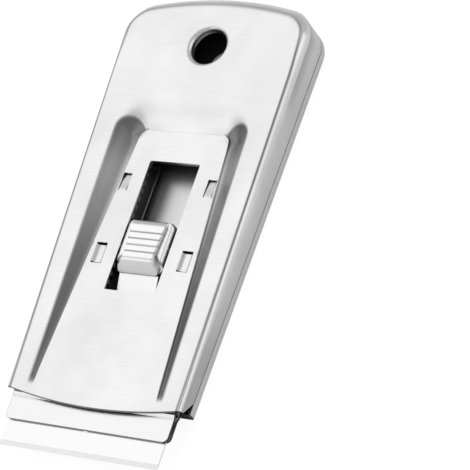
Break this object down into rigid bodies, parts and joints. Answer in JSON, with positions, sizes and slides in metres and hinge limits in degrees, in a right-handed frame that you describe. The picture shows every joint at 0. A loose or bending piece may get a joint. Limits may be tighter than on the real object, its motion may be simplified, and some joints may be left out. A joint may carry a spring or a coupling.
{
  "type": "razor_blade_scraper",
  "caption": "Pocket scraper for a single-edge razor blade: tapered pressed-metal case with a hanging hole, a window with a ribbed thumb knob, and a sliding blade holder.",
  "frame": {"origin": "centre of the bounding box in X and Y, at its lowest plane, the outer face of the back shell, with the blade in its working place", "axes": "+Y from the blade's edge to the hanging end, +Z out of the front face with the knob, X across the blade"},
  "size_m": [0.047, 0.1072, 0.0105],
  "materials": {
    "face_sheet": "fine brushed plate, satin",
    "back_sheet": "fine brushed plate, satin",
    "guide_steel": "bare pressed steel",
    "slide_steel": "bare pressed steel",
    "spring_steel": "polished spring strip",
    "rivet_steel": "bare steel",
    "knob_metal": "satin cast metal",
    "holder_steel": "bright plate",
    "blade_steel": "polished, with a ground edge",
    "spine_steel": "bright folded sheet"
  },
  "bodies": {
    "case": {"front_shell": "face_sheet", "back_shell": "back_sheet", "rack_plate": "guide_steel", "left_rail": "guide_steel", "right_rail": "guide_steel"},
    "slide": {"carrier_plate": "slide_steel", "spring_strip": "spring_steel", "strip_rivets": "rivet_steel", "back_leaf": "holder_steel", "front_leaf": "holder_steel", "holder_rivets": "rivet_steel", "blade": "blade_steel", "blade_spine": "spine_steel"},
    "knob": {"thumb_knob": "knob_metal", "knob_washer": "rivet_steel"}
  },
  "joints": [
    {"name": "slide_travel", "type": "slide", "parent": "case", "child": "slide", "axis": [0, 1, 0], "range_m": [-0.004, 0.014]},
    {"name": "knob_press", "type": "slide", "parent": "slide", "child": "knob", "axis": [0, 0, -1], "range_m": [0, 0.001], "stiffness_N_per_m": 3000, "deforming": ["spring_strip"]}
  ]
}
